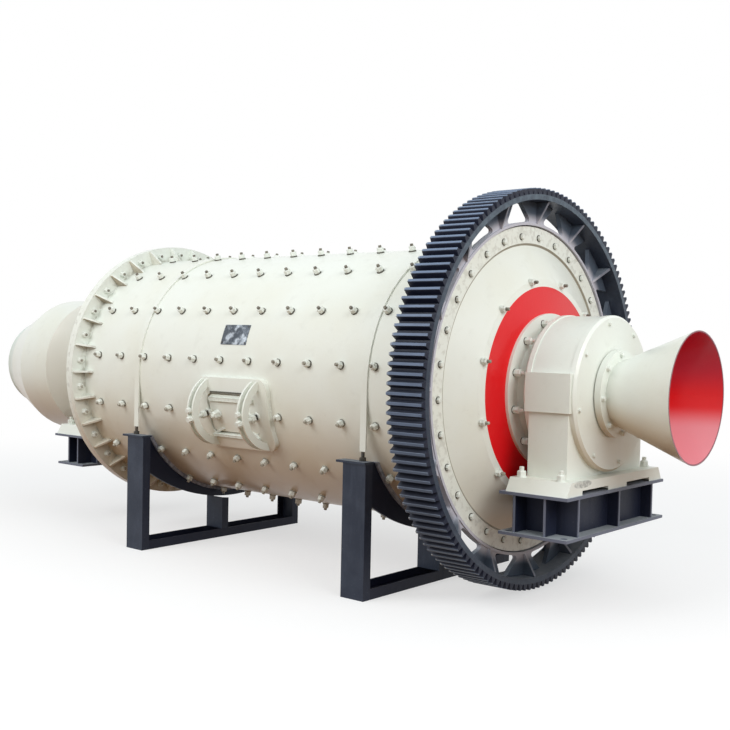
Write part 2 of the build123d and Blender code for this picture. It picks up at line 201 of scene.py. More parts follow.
# Colours
CREAM = (0.805, 0.84, 0.78, 1)
CREAM_WARM = (0.765, 0.775, 0.68, 1)
CREAM_PAINTED_LIGHT = (0.92, 0.90, 0.83, 1)
CREAM_PAINTED_SHADE_GREEN = (0.60, 0.70, 0.66, 1)
CREAM_RUBBED_THIN = (0.16, 0.165, 0.16, 1)
GRIME_AND_SHADE = (0.26, 0.235, 0.175, 1)
GUSSET_UNDERSIDE_SHADE = (0.17, 0.145, 0.10, 1)
UNDERSIDE_SHADE_BROWN = (0.50, 0.305, 0.115, 1)
SLOT_PAINTED_SHADE = (0.022, 0.021, 0.018, 1)
LAVENDER = (0.62, 0.62, 0.69, 1)
PRIMER = (0.33, 0.34, 0.40, 1)
RED = (0.78, 0.006, 0.010, 1)
RED_DEEP = (0.58, 0.004, 0.010, 1)
RED_SHADED = (0.50, 0.004, 0.035, 1)
RED_PALE_LOW = (0.80, 0.29, 0.33, 1)
RED_LIP = (0.16, 0.02, 0.05, 1)
SLATE = (0.024, 0.032, 0.053, 1)
SLATE_WORN = (0.075, 0.092, 0.128, 1)
SLATE_RUBBED = (0.19, 0.26, 0.39, 1)
SLATE_IN_RIM = (0.10, 0.13, 0.17, 1)
SLATE_FACE = (0.130, 0.175, 0.215, 1)
SLATE_RIB_EDGE = (0.22, 0.23, 0.28, 1)
SLATE_PLATE_EDGE = (0.20, 0.22, 0.29, 1)
SLATE_CHIPPED = (0.50, 0.53, 0.54, 1)
TOOTH_END_HIGHLIGHT = (0.34, 0.36, 0.38, 1)
NAVY = (0.008, 0.010, 0.026, 1)
DUST = (0.39, 0.43, 0.475, 1)
DUST_SETTLED = (0.50, 0.54, 0.50, 1)
OILED_STEEL = (0.055, 0.052, 0.045, 1)
RUST = (0.11, 0.075, 0.045, 1)
THREAD_LIT_LOW = (0.34, 0.32, 0.26, 1)
THREAD_LIT_LOW_WORN = (0.56, 0.55, 0.47, 1)
THREAD_SHADED_HIGH = (0.14, 0.125, 0.10, 1)
THREAD_SHADED_HIGH_WORN = (0.27, 0.25, 0.20, 1)
SHADE_RUBBER_BROWN = (0.075, 0.070, 0.055, 1)
SHADE_RUBBER_DUSTY = (0.21, 0.20, 0.16, 1)
PLATE_ETCHED = (0.045, 0.060, 0.080, 1)
PLATE_RUBBED = (0.50, 0.56, 0.62, 1)
PLATE_SCRATCHED = (0.16, 0.19, 0.23, 1)
WHITE = (1, 1, 1, 1)
FLOOR_PALE = (0.95, 0.95, 0.95, 1)
YARD_BROWN = (0.26, 0.125, 0.045, 1)
SKY_COOL = (0.93, 0.98, 1.0, 1)


# Finishes
def cream_paint(name, touches=None):
    """Brushed gloss cream over cast and rolled steel, with painted brown shade underneath."""
    coat = Finish(name)
    patches = coat.noise(2.2, 4).ramp(0.35, 0.75)
    blotches = coat.noise(14, 5).ramp(0.56, 0.80)
    specks = coat.noise(95, 2).ramp(0.70, 0.78)
    runs = coat.noise(9, 4, (1, 1, 0.12)).ramp(0.60, 0.85)
    colour = coat.mix(patches * 0.7, CREAM, CREAM_WARM)
    # Painted shade: darker and browner where the surface faces down.
    underneath = coat.facing_up().ramp(-0.08, -0.78) * 0.54
    colour = coat.mix(blotches * 0.07 + runs * 0.07 + specks * 0.16, colour, GRIME_AND_SHADE)
    colour = coat.mix(underneath, colour, UNDERSIDE_SHADE_BROWN)
    colour = coat.touched(colour, touches)
    roughness = 0.30 + patches * 0.10 + blotches * 0.12
    height = coat.noise(60, 3) * 0.6 + coat.noise(420, 2) * 0.4
    return coat.surface(colour, roughness, height, 0.6,
                        {"Specular IOR Level": 0.35, "Coat Weight": 0.15, "Coat Roughness": 0.12})


def slate_paint(name, touches=None, over_dust=None):
    """Dark slate paint, dusty where it faces up, with what over_dust gives laid over the dust: grease with
    painted shade and light on the gear, painted shade on the beams and webs.
    """
    coat = Finish(name)
    patches = coat.noise(5, 4).ramp(0.35, 0.7)
    streaks = coat.noise(26, 4, (1, 1, 0.15)).ramp(0.50, 0.75)
    specks = coat.noise(150, 2).ramp(0.68, 0.76)
    dust = coat.facing_up().ramp(0.35, 0.95) * (0.35 + coat.noise(30, 4) * 0.5)
    colour = coat.mix(patches * 0.35 + streaks * 0.25, SLATE, SLATE_WORN)
    colour = coat.touched(colour, touches)
    colour = coat.mix(dust * 0.7 + specks * 0.15, colour, DUST)
    colour = coat.touched(colour, over_dust)
    roughness = 0.42 + dust * 0.35 + streaks * 0.12
    height = coat.noise(45, 4) * 0.6 + coat.noise(300, 2) * 0.4
    return coat.surface(colour, roughness, height, 1.0, {"Specular IOR Level": 0.22})


def saddle_paint(name):
    """Pale lavender primer on the saddle bars, rubbed by the shell."""
    coat = Finish(name)
    rubbed = coat.noise(34, 4).ramp(0.40, 0.70)
    colour = coat.mix(rubbed * 0.6, PRIMER, SLATE_WORN)
    return coat.surface(colour, 0.45 + rubbed * 0.2, coat.noise(120, 3), 0.6)


def fastener_paint(name):
    """Cream brushed over nuts and washers, with grime in its corners."""
    coat = Finish(name)
    dirt = coat.noise(55, 4).ramp(0.40, 0.65)
    colour = coat.mix(dirt * 0.16, CREAM, GRIME_AND_SHADE)
    return coat.surface(colour, 0.34 + dirt * 0.25, coat.noise(260, 3), 0.6)


def oiled_steel(name):
    """Threaded ends and pins, dark with oil and old paint."""
    coat = Finish(name)
    rust = coat.noise(70, 4).ramp(0.45, 0.7)
    colour = coat.mix(rust * 0.6, OILED_STEEL, RUST)
    return coat.surface(colour, 0.42 + rust * 0.3, coat.noise(500, 2), 0.4, {"Metallic": 0.5})


def worn_thread(name):
    """Bolt ends, worn in patches, with painted shade darkening them on the mill's upper side and painted
    light making them paler below.
    """
    coat = Finish(name)
    worn = coat.noise(80, 3).ramp(0.40, 0.70)
    low = coat.mix(worn, THREAD_LIT_LOW, THREAD_LIT_LOW_WORN)
    high = coat.mix(worn, THREAD_SHADED_HIGH, THREAD_SHADED_HIGH_WORN)
    # Painted light and shade: paler low on the mill, darker high up.
    colour = coat.mix(coat.z.ramp(-150, 350), low, high)
    return coat.surface(colour, 0.5 + worn * 0.1, coat.noise(500, 2), 0.4)


def seal_rubber(name):
    """Dark rubber standing in for the shade under the liner bolts' nuts and round the door, dusty, and paler
    and creamier towards the bottom.
    """
    coat = Finish(name)
    dusty = coat.noise(40, 3).ramp(0.45, 0.75)
    colour = coat.mix(dusty * 0.6, SHADE_RUBBER_BROWN, SHADE_RUBBER_DUSTY)
    colour = coat.mix(coat.z.ramp(0, -400, 0.0, 0.4), colour, CREAM_WARM)
    return coat.surface(colour, 0.7 + dusty * 0.1, coat.noise(200, 2), 0.4)


def plate_metal(name):
    """The bare data plate: dark etched metal, rubbed lighter."""
    coat = Finish(name)
    rubbed = coat.noise(20, 4).ramp(0.46, 0.64)
    scratched = coat.noise(70, 3).ramp(0.48, 0.70)
    colour = coat.mix(rubbed, PLATE_ETCHED, PLATE_RUBBED)
    colour = coat.mix(scratched * 0.6, colour, PLATE_SCRATCHED)
    return coat.surface(colour, 0.34 + rubbed * 0.2, coat.noise(300, 2), 0.3, {"Metallic": 0.3})


# Touches: what lies over the finish of one piece, as a list of masks with their colours
def cover_touches(coat):
    """The red ring round the discharge trunnion's flange, grime on the bolted face, and painted shade in its
    step.
    """
    radius = coat.from_axis()
    outside = coat.x.ramp(SHELL_LENGTH + 60, SHELL_LENGTH + 62)
    ring = radius.ramp(RED_RING_RADIUS - 1, RED_RING_RADIUS + 1, 1.0, 0.0) * outside
    return bolted_face_grime_and_shade(coat, radius) + [(ring, coat.mix(coat.noise(3, 3) * 0.5, RED, RED_DEEP))]


def feed_cover_touches(coat):
    return bolted_face_grime_and_shade(coat, coat.from_axis())


def bolted_face_grime_and_shade(coat, radius):
    """Painted shade in the step inside a cover's bolted face, and grime mottled over the face."""
    # Painted shade: a dark line in the step.
    step = (radius.ramp(COVER_STEP_RADIUS - 12.5, COVER_STEP_RADIUS - 10)
            * radius.ramp(COVER_STEP_RADIUS + 0.5, COVER_STEP_RADIUS + 2, 1.0, 0.0))
    face = radius.ramp(COVER_STEP_RADIUS + 2, COVER_STEP_RADIUS + 8)
    mottled = coat.noise(34, 5).ramp(0.47, 0.66) * face
    return [(step * 0.85, GRIME_AND_SHADE), (mottled * 0.26, GRIME_AND_SHADE)]


def feed_flange_touches(coat):
    """Grime round the flange's nuts, painted shade on the gussets' undersides, and painted brown shade low
    down.
    """
    radius = coat.from_axis()
    corner = radius.ramp(SHELL_RADIUS, SHELL_RADIUS + 50, 1.0, 0.12)
    patchy = coat.noise(24, 5).ramp(0.40, 0.64)
    # Painted shade: under the gussets, and darker and browner low down.
    shaded = coat.facing_up().ramp(-0.25, -0.85) * radius.ramp(FLANGE_RADIUS - 13, FLANGE_RADIUS - 18)
    low = coat.z.ramp(100, -700, 0.0, 0.36)
    return [(low, UNDERSIDE_SHADE_BROWN), (patchy * corner * 0.55, GRIME_AND_SHADE), (shaded * 0.5, GUSSET_UNDERSIDE_SHADE)]


def feeder_root_touches(coat):
    """Painted light: a paler coat where the drum shades the root."""
    return [(0.8, CREAM_PAINTED_LIGHT)]


def feeder_mouth_touches(coat):
    """Painted shade: greener and darker towards the mouth, which faces away from the light."""
    return [(coat.x.ramp(FEEDER_END + 142, FEEDER_END + 62, 0.0, 0.6), CREAM_PAINTED_SHADE_GREEN)]


def trumpet_touches(coat):
    """Red inside the trumpet, with painted shade at the top, paler at the bottom, and a dark lip."""
    slope = (TRUMPET_MOUTH_RADIUS - TRUMPET_ROOT_RADIUS) / TRUMPET_LENGTH
    middle_of_plate = (coat.x - TRUMPET_START) * slope + (TRUMPET_ROOT_RADIUS - TRUMPET_PLATE / 2)
    inside = (coat.from_axis() - middle_of_plate).ramp(-1, 1, 1.0, 0.0)
    low = coat.z.ramp(-50, -170, 0.0, 0.95)
    high = coat.z.ramp(-20, 160, 0.0, 0.85)
    lip = coat.x.ramp(TRUMPET_END - 3, TRUMPET_END - 1)
    return [(inside, coat.mix(coat.noise(4, 3) * 0.5, RED, RED_DEEP)), (inside * high, RED_SHADED),
            (inside * low, RED_PALE_LOW), (lip * 0.8, RED_LIP)]


def gear_touches(coat):
    """Worn edges on the rim, arms and ribs, a pale collar, painted highlights on the teeth's back ends, and
    the rim's face paler towards the top with painted light.
    """
    radius = coat.from_axis()
    back = coat.x.ramp(GEAR_BACK_X + 0.5, GEAR_BACK_X + 2, 1.0, 0.0)
    # Painted highlight on the teeth's back ends.
    tooth_end_highlights = back * radius.ramp(TOOTH_ROOT_RADIUS - 2, TOOTH_ROOT_RADIUS + 2)
    face = coat.x.ramp(GEAR_FACE_X - 1.5, GEAR_FACE_X - 0.5)
    # Painted light: the rim's face paler towards the top.
    high = coat.z.ramp(100, 900, 0.15, 0.75)
    mottled = 0.5 + coat.noise(26, 4).ramp(0.35, 0.65) * 0.5
    in_rim = (radius.ramp(COLLAR_RADIUS + 12, COLLAR_RADIUS + 42)
              * radius.ramp(RIM_BORE - 5, RIM_BORE - 1, 1.0, 0.0))
    past_rib = coat.x - ((radius - RIB_FOOT_RADIUS) * RIB_SLOPE + RIB_FOOT_X)
    rib_edges = past_rib.ramp(-6, -2) * in_rim
    collar = (radius.ramp(COLLAR_RADIUS + 1, COLLAR_RADIUS + 57, 1.0, 0.0)
              * coat.x.ramp(SHELL_LENGTH - FLANGE_PLATE + 2, SHELL_LENGTH - FLANGE_PLATE + 12))
    return [(in_rim * 0.55, SLATE_IN_RIM), (tooth_end_highlights * 0.9, TOOTH_END_HIGHLIGHT), (face * high * mottled, SLATE_FACE),
            (rib_edges * 0.8, SLATE_RIB_EDGE), (collar * 0.85, LAVENDER)]


def gear_grease_and_shading(coat):
    """Dark grease and painted shade between the teeth; their lands are rubbed, paler towards the top with
    painted light, and chipped on one side.
    """
    radius = coat.from_axis()
    patchy = 0.6 + coat.noise(12, 4) * 0.6
    # Grease and painted shade between the teeth.
    between = (radius.ramp(TOOTH_ROOT_RADIUS - 3, TOOTH_ROOT_RADIUS + 1)
               * radius.ramp(TOOTH_TIP_RADIUS - 4.5, TOOTH_TIP_RADIUS - 2.5, 1.0, 0.0))
    lands = radius.ramp(TOOTH_TIP_RADIUS - 4.5, TOOTH_TIP_RADIUS - 2)
    # Painted light: the rubbed lands paler towards the top.
    high = coat.z.ramp(-750, 450, 0.22, 0.85)
    corners = lands * coat.x.ramp(GEAR_BACK_X + 4, GEAR_BACK_X + 13, 1.0, 0.0)
    chipped = coat.noise(60, 3).ramp(0.40, 0.58)
    return [(between * 0.86, NAVY), (lands * patchy * high, SLATE_RUBBED),
            (corners * chipped * 0.7, SLATE_CHIPPED)]


def base_touches(middle_x):
    """Painted shade inside the two slots under a bearing base."""
    def touches(coat):
        from_middle = (coat.x - middle_x).maths("ABSOLUTE")
        between_faces = from_middle.ramp(BASE_HALF_WIDTH - 2, BASE_HALF_WIDTH - 1, 1.0, 0.0)
        between_ends = coat.y.maths("ABSOLUTE").ramp(BASE_SLOT_END + 0.5, BASE_SLOT_END + 1.5, 1.0, 0.0)
        under = coat.z.ramp(BASE_FOOT + 9.5, BASE_FOOT + 10.5, 1.0, 0.0)
        return [(between_faces * under * between_ends * 0.92, SLOT_PAINTED_SHADE)]
    return touches


def discharge_base_touches(coat):
    """The slots' painted shade, and an oval on the outer face where the paint is rubbed thin."""
    across, up = (coat.y - OVAL_Y) / OVAL_HALF_LENGTH, (coat.z - OVAL_Z) / OVAL_HALF_HEIGHT
    oval = (across * across + up * up).ramp(0.7, 1.1, 1.0, 0.0)
    face_x = DISCHARGE_BEARING_X + BASE_OUTER_FACE
    outer_face = coat.x.ramp(face_x - 20, face_x - 10)
    rubbed = oval * outer_face * (0.25 + coat.noise(60, 4).ramp(0.38, 0.62) * 0.4)
    return base_touches(DISCHARGE_BEARING_X + BASE_MIDDLE_OUT)(coat) + [(rubbed, CREAM_RUBBED_THIN)]


def shaded_touches(coat):
    """Painted shade over the low beams and webs, dark enough to hide their dust."""
    return [(0.78 + coat.noise(6, 3) * 0.22, NAVY)]


def post_side_shade(coat):
    """Painted shade on the sides that face along the mill."""
    along_mill = coat.direction()[0].maths("ABSOLUTE").ramp(0.5, 0.9)
    return [(along_mill * 0.55, NAVY)]


def pedestal_shade_and_dust(middle_x, half_width):
    """Painted shade on the panels recessed between the plate edges, which are painted paler, and dust settled
    on the bottom plate.
    """
    under_top_plate, over_foot_plate = BASE_FOOT - PEDESTAL_PLATE, PEDESTAL_FOOT + PEDESTAL_PLATE

    def touches(coat):
        side = (coat.x - middle_x).maths("ABSOLUTE").ramp(half_width - 14, half_width - 7)
        end = coat.y.maths("ABSOLUTE").ramp(PEDESTAL_REACH - 17, PEDESTAL_REACH - 13)
        top = coat.z.ramp(under_top_plate - 0.5, under_top_plate + 0.5)
        bottom = coat.z.ramp(over_foot_plate - 0.5, over_foot_plate + 0.5, 1.0, 0.0)
        edges = side.maths("MAXIMUM", end).maths("MAXIMUM", top).maths("MAXIMUM", bottom)
        settled = bottom * coat.facing_up().ramp(0.80, 0.95) * (0.5 + coat.noise(18, 4) * 0.5)
        # Painted shade on the recessed panels and painted light on the plate edges.
        return [(0.75 - edges * 0.75, NAVY), (edges * 0.70, SLATE_PLATE_EDGE), (settled, DUST_SETTLED)]
    return touches


cream = cream_paint("cream_paint")
slate = slate_paint("slate_paint")
shaded_slate = slate_paint("slate_beam_paint", over_dust=shaded_touches)
post_slate = slate_paint("slate_post_paint", post_side_shade)
nut_paint = fastener_paint("nut_paint")
thread_steel = oiled_steel("oiled_steel")
bare_plate = plate_metal("plate_metal")
shade_rubber = seal_rubber("seal_rubber")
bolt_end = worn_thread("bolt_ends")
saddle = saddle_paint("saddle_paint")
NODE_FINISHES = {
    "feed_bearing_base": cream_paint("cream_feed_base_paint", base_touches(FEED_BEARING_X - BASE_MIDDLE_OUT)),
    "discharge_bearing_base": cream_paint("cream_discharge_base_paint", discharge_base_touches),
    "discharge_end_cover": cream_paint("cream_cover_paint", cover_touches),
    "feed_end_cover": cream_paint("cream_feed_cover_paint", feed_cover_touches),
    "discharge_trumpet": cream_paint("cream_trumpet_paint", trumpet_touches),
    "feeder_root": cream_paint("cream_root_paint", feeder_root_touches),
    "feeder_mouth": cream_paint("cream_mouth_paint", feeder_mouth_touches),
    "feed_flange": cream_paint("cream_flange_paint", feed_flange_touches),
    "feed_gussets": cream_paint("cream_gusset_paint", feed_flange_touches),
    "girth_gear": slate_paint("slate_gear_paint", gear_touches, gear_grease_and_shading),
    "feed_pedestal": slate_paint("slate_feed_pedestal_paint",
                                 pedestal_shade_and_dust(FEED_BEARING_X, FEED_PEDESTAL_HALF)),
    "discharge_pedestal": slate_paint("slate_discharge_pedestal_paint",
                                      pedestal_shade_and_dust(DISCHARGE_BEARING_X, DISCHARGE_PEDESTAL_HALF)),
}
for end in ("feed", "discharge"):
    for piece, finish in (("posts", post_slate), ("beam", shaded_slate), ("web", shaded_slate),
                          ("caps", slate)):
        NODE_FINISHES[f"{end}_stand_{piece}"] = finish
    NODE_FINISHES[f"{end}_stand_saddle"] = saddle
    NODE_FINISHES[f"{end}_strap_rods"] = thread_steel
for name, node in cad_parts.items():
    node.data.materials.clear()
    node.data.materials.append(NODE_FINISHES.get(name, cream))


# Places on the mill
def at_mill(x, y, z):
    return Vector((x * MM + X_SHIFT, y * MM, z * MM + AXIS_HEIGHT))


def round_axis(x, radius, angle):
    across, up = -cos(radians(angle)), sin(radians(angle))
    return at_mill(x, radius * across, radius * up)


def standing(seat, up, side, turn):
    """Puts a piece drawn on the XY plane, pointing up Z, on a seat."""
    up, side = Vector(up).normalized(), Vector(side).normalized()
    axes = Matrix((side, up.cross(side), up)).transposed().to_4x4()
    return Matrix.Translation(seat) @ axes @ Matrix.Rotation(radians(turn), 4, "Z")


def outwards(angle):
    return Vector((0, -cos(radians(angle)), sin(radians(angle))))


def on_curve(x, radius, angle, turn=0.0):
    return standing(round_axis(x, radius, angle), outwards(angle), (1, 0, 0), turn)


def on_face(x, radius, angle, towards, turn):
    return standing(round_axis(x, radius, angle), (towards, 0, 0), outwards(angle), turn)


def on_top(x, y, z, turn):
    return standing(at_mill(x, y, z), (0, 0, 1), (1, 0, 0), turn)


# Fasteners, drawn in millimetres on the XY plane and pointing up Z; base and top are heights above the seat.
# A fastener's finishes stand in this order:
PAINT, STEEL, SHADE_RUBBER, BOLT_END = range(4)


def add_round(mesh, radius, base, top, sides, chamfer=0.0, finish=PAINT):
    made = bmesh.ops.create_cone(mesh, cap_ends=True, segments=sides, radius1=radius, radius2=radius,
                                 depth=top - base, matrix=Matrix.Translation((0, 0, (base + top) / 2)))
    finish_bar(mesh, made["verts"], top, chamfer, finish)


def add_hexagon(mesh, across_flats, base, top, chamfer, finish=PAINT):
    made = bmesh.ops.create_cone(mesh, cap_ends=True, segments=6, radius1=across_flats / sqrt(3),
                                 radius2=across_flats / sqrt(3), depth=top - base,
                                 matrix=Matrix.Translation((0, 0, (base + top) / 2)))
    finish_bar(mesh, made["verts"], top, chamfer, finish)


def add_block(mesh, length, width, base, top, chamfer, finish=PAINT):
    made = bmesh.ops.create_cube(mesh, size=1, matrix=Matrix.Translation((0, 0, (base + top) / 2))
                                 @ Matrix.Diagonal((length, width, top - base, 1)))
    finish_bar(mesh, made["verts"], top, chamfer, finish)


def finish_bar(mesh, verts, top, chamfer, finish):
    """Gives a bar its finish and chamfers its upper rim."""
    for face in {face for vert in verts for face in vert.link_faces}:
        face.material_index = finish
    rim = [edge for edge in {edge for vert in verts for edge in vert.link_edges}
           if all(vert.co.z > top - 0.01 for vert in edge.verts)]
    if chamfer:
        bmesh.ops.bevel(mesh, geom=rim, offset=chamfer, affect="EDGES", segments=1, profile=0.5, material=-1)


def liner_bolt(mesh):
    """A dark washer standing in for the shade under the nut, a nut and the bolt's end, which clears the
    discharge stand's posts by 1.6 mm.
    """
    # Painted shade: the dark washer under the nut.
    add_round(mesh, 22, -2, 7, sides=14, chamfer=2, finish=SHADE_RUBBER)
    add_hexagon(mesh, 35, 7, 32, chamfer=3)
    add_round(mesh, 9.5, 32, 45, sides=8, chamfer=2, finish=BOLT_END)


def feed_flange_nut(mesh):
    add_round(mesh, 21, 0, 3, sides=14)
    add_hexagon(mesh, 34, 3, 23, chamfer=3)
    add_round(mesh, 8.5, 23, 31, sides=8, chamfer=2, finish=BOLT_END)


def discharge_flange_screw(mesh):
    """A cream head over a dark steel washer that stands in for the shade round the head."""
    add_round(mesh, 18, 0, 3, sides=14, finish=STEEL)
    add_hexagon(mesh, 27, 3, 18, chamfer=3)


def flange_head(mesh):
    add_hexagon(mesh, 34, 0, 16, chamfer=3)


def cover_stud(mesh):
    add_round(mesh, 19, -3, 5, sides=14)
    add_hexagon(mesh, 31, 5, 25, chamfer=3)
    add_round(mesh, 8.5, 25, 46, sides=8, chamfer=2, finish=BOLT_END)


def trunnion_stud(mesh):
    add_round(mesh, 20, 0, 3, sides=14, finish=STEEL)
    add_hexagon(mesh, 33, 3, 24, chamfer=3)
    add_hexagon(mesh, 33, 25, 40, chamfer=3)
    add_round(mesh, 9.5, 40, 62, sides=8, chamfer=2)


def disc_screw(mesh):
    add_round(mesh, 12, 0, 2, sides=12)
    add_hexagon(mesh, 18, 2, 11, chamfer=1.5)


def hub_screw(mesh):
    add_round(mesh, 15, 0, 3, sides=12)
    add_hexagon(mesh, 22, 3, 17, chamfer=2)


def base_nut(mesh):
    add_round(mesh, 26, 0, 6, sides=14)
    add_hexagon(mesh, 40, 6, 32, chamfer=4)
    add_round(mesh, 12, 32, 52, sides=10, chamfer=3)


def rod_nut(mesh):
    add_hexagon(mesh, 30, 0, 19, chamfer=2, finish=STEEL)


def rivet(mesh):
    add_round(mesh, 5, 0, 3, sides=10, chamfer=1.5, finish=STEEL)


def latch_bar(mesh):
    add_block(mesh, 92, 14, 0, 12, chamfer=2)


def jack_bolt(mesh):
    """The screw in a bow's gap that presses on the door, with a lock nut and a nut on the bow's back."""
    add_round(mesh, 27, 0, 14, sides=16, chamfer=3)
    # Painted shade: a dark steel block where the gap under the bow is in shade.
    add_block(mesh, 30, 30, 14, 32, chamfer=1, finish=STEEL)
    add_hexagon(mesh, 42, 32, 56, chamfer=3)
    add_round(mesh, 11, 56, 150, sides=10, chamfer=2)
    add_round(mesh, 24, 137.5, 142.5, sides=14)
    add_hexagon(mesh, 34, 142.5, 160, chamfer=3)


def back_nut(mesh):
    add_round(mesh, 20, 0, 4, sides=14)
    add_hexagon(mesh, 30, 4, 20, chamfer=3)


def door_nut(mesh):
    add_round(mesh, 30, 0, 8, sides=16, chamfer=3)
    add_hexagon(mesh, 44, 8, 40, chamfer=4)
    add_round(mesh, 12, 40, 52, sides=10, chamfer=3)


def drawn(draw):
    """The mesh of one fastener, in metres."""
    shape = bmesh.new()
    draw(shape)
    shape.transform(Matrix.Diagonal((MM, MM, MM, 1)))
    mesh = bpy.data.meshes.new(draw.__name__)
    shape.to_mesh(mesh)
    shape.free()
    return mesh


def add_piece(name, shape, body, finishes):
    """Makes a finished piece from a bmesh that is already in its place."""
    bmesh.ops.recalc_face_normals(shape, faces=shape.faces)
    mesh = bpy.data.meshes.new(name)
    shape.to_mesh(mesh)
    shape.free()
    mesh.polygons.foreach_set("use_smooth", [True] * len(mesh.polygons))
    mesh.set_sharp_from_angle(angle=radians(32))
    for finish in finishes:
        mesh.materials.append(finish)
    piece = bpy.data.objects.new(name, mesh)
    bpy.context.scene.collection.objects.link(piece)
    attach(piece, body)


def repeat(name, draw, places, body):
    """One piece that holds the same fastener at each place."""
    one = drawn(draw)
    shape = bmesh.new()
    for place in places:
        one.transform(place)
        shape.from_mesh(one)
        one.transform(place.inverted())
    add_piece(name, shape, body, (nut_paint, thread_steel, shade_rubber, bolt_end))


# Liner bolts: rows along the shell, with a bolt at each station but none through the manhole. Here and below,
# each nut has a turn of its own.
LINER_START = 214.4
LINER_PITCH = 234.6
LINER_STATIONS = 12
LINER_ROWS = 16
LINER_FIRST_ANGLE = 8.14
MANHOLE_PLACES = ((5, 15), (6, 15))
step = 360 / LINER_ROWS
repeat("liner_bolts", liner_bolt,
       [on_curve(LINER_START + LINER_PITCH * station, SHELL_RADIUS, LINER_FIRST_ANGLE + step * row,
                 turn=37 * station + 23 * row)
        for station in range(LINER_STATIONS) for row in range(LINER_ROWS)
        if (station, row) not in MANHOLE_PLACES], "drum")

# End flanges, covers, trunnions and hubs: each ring of fasteners with the face it sits on, the radius of
# its circle, the angle of its first one, the way it points along the mill and how many it has
FLANGE_PAIR = 2 * FLANGE_PLATE
KNUCKLE_OUT = 82.5
FEED_CIRCLE, DISCHARGE_CIRCLE = 812.6, 813.6
COVER_CIRCLE, TRUNNION_CIRCLE, HUB_CIRCLE = 582, 361, 200
for name, draw, x, radius, start, towards, count in (
        ("feed_flange_nuts", feed_flange_nut, FLANGE_PAIR, FEED_CIRCLE, 88.94, 1, 30),
        ("feed_flange_heads", flange_head, 0, FEED_CIRCLE, 88.94, -1, 30),
        ("discharge_flange_screws", discharge_flange_screw, SHELL_LENGTH, DISCHARGE_CIRCLE, 141.6, 1, 30),
        ("discharge_flange_heads", flange_head, SHELL_LENGTH - FLANGE_PAIR - GEAR_LIP, DISCHARGE_CIRCLE,
         141.6, -1, 30),
        ("discharge_cover_studs", cover_stud, SHELL_LENGTH + KNUCKLE_OUT, COVER_CIRCLE, 15.3, 1, 12),
        ("feed_cover_studs", cover_stud, -KNUCKLE_OUT, COVER_CIRCLE, 15.3, -1, 12),
        ("discharge_trunnion_studs", trunnion_stud, SHELL_LENGTH + TRUNNION_FLANGE_OUT, TRUNNION_CIRCLE,
         15.6, 1, 12),
        ("feed_trunnion_studs", trunnion_stud, -TRUNNION_FLANGE_OUT, TRUNNION_CIRCLE, 15.6, -1, 12),
        ("discharge_hub_screws", hub_screw, DISCHARGE_BEARING_X + HUB_OUT, HUB_CIRCLE, 40.1, 1, 8),
        ("feed_hub_screws", hub_screw, FEED_BEARING_X - HUB_OUT, HUB_CIRCLE, 40.1, -1, 8)):
    step = 360 / count
    repeat(name, draw, [on_face(x, radius, start - step * k, towards, 17 * k) for k in range(count)], "drum")

# Bearings: cover disc screws and the nuts that hold the base down
DISC_CIRCLE = 359
DISC_SCREWS = 8
DISC_FIRST_ANGLE = 33.5
BASE_NUT_X, BASE_NUT_Y = 112, 442
step = 360 / DISC_SCREWS
for end, x, towards in (("feed", FEED_BEARING_X, -1), ("discharge", DISCHARGE_BEARING_X, 1)):
    for disc, side in (("outer", towards), ("inner", -towards)):
        repeat(f"{end}_{disc}_disc_screws", disc_screw,
               [on_face(x + DISC_OUT * side, DISC_CIRCLE, DISC_FIRST_ANGLE + step * k, side, 11 * k)
                for k in range(DISC_SCREWS)], "frame")
    repeat(end + "_base_nuts", base_nut,
           [on_top(x + dx, dy, BASE_TOP, 20)
            for dx in (-BASE_NUT_X, BASE_NUT_X) for dy in (-BASE_NUT_Y, BASE_NUT_Y)], "frame")


# Slabs that follow the shell's curve
def bend_round_axis(shape):
    """Wraps a flat shape, drawn with x along the mill, y round it in degrees and z as radius, on the mill."""
    for vert in shape.verts:
        vert.co = round_axis(vert.co.x, vert.co.z, vert.co.y)


def curved_slab(start, end, low, high, inner, outer, steps, edge):
    """A slab from start to end along the mill, between two angles and two radii, with rounded edges."""
    shape = bmesh.new()
    bmesh.ops.create_cube(shape, size=1)
    bmesh.ops.scale(shape, verts=shape.verts, vec=(end - start, high - low, outer - inner))
    bmesh.ops.translate(shape, verts=shape.verts,
                        vec=((start + end) / 2, (low + high) / 2, (inner + outer) / 2))
    bent = [line for line in shape.edges if abs(line.verts[0].co.y - line.verts[1].co.y) > 1e-3]
    bmesh.ops.subdivide_edges(shape, edges=bent, cuts=steps - 1, use_grid_fill=True)
    bend_round_axis(shape)
    rims = [line for line in shape.edges
            if len(line.link_faces) == 2 and line.calc_face_angle() > radians(45)]
    bmesh.ops.bevel(shape, geom=rims, offset=edge * MM, affect="EDGES", segments=2, profile=0.5, material=-1)
    return shape


# Data plate, bare, with a rivet at each corner
PLATE_START, PLATE_END = 1363, 1575
PLATE_LOW, PLATE_HIGH = 15, 24      # degrees
PLATE_TOP = SHELL_RADIUS + 3
RIVET_INSET = 11
RIVET_INSET_ANGLE = 0.9
plate = curved_slab(PLATE_START, PLATE_END, PLATE_LOW, PLATE_HIGH, SHELL_RADIUS, PLATE_TOP, steps=6, edge=0.8)
add_piece("data_plate", plate, "drum", (bare_plate,))
repeat("data_plate_rivets", rivet,
       [on_curve(x, PLATE_TOP, angle) for x in (PLATE_START + RIVET_INSET, PLATE_END - RIVET_INSET)
        for angle in (PLATE_LOW + RIVET_INSET_ANGLE, PLATE_HIGH - RIVET_INSET_ANGLE)], "drum")

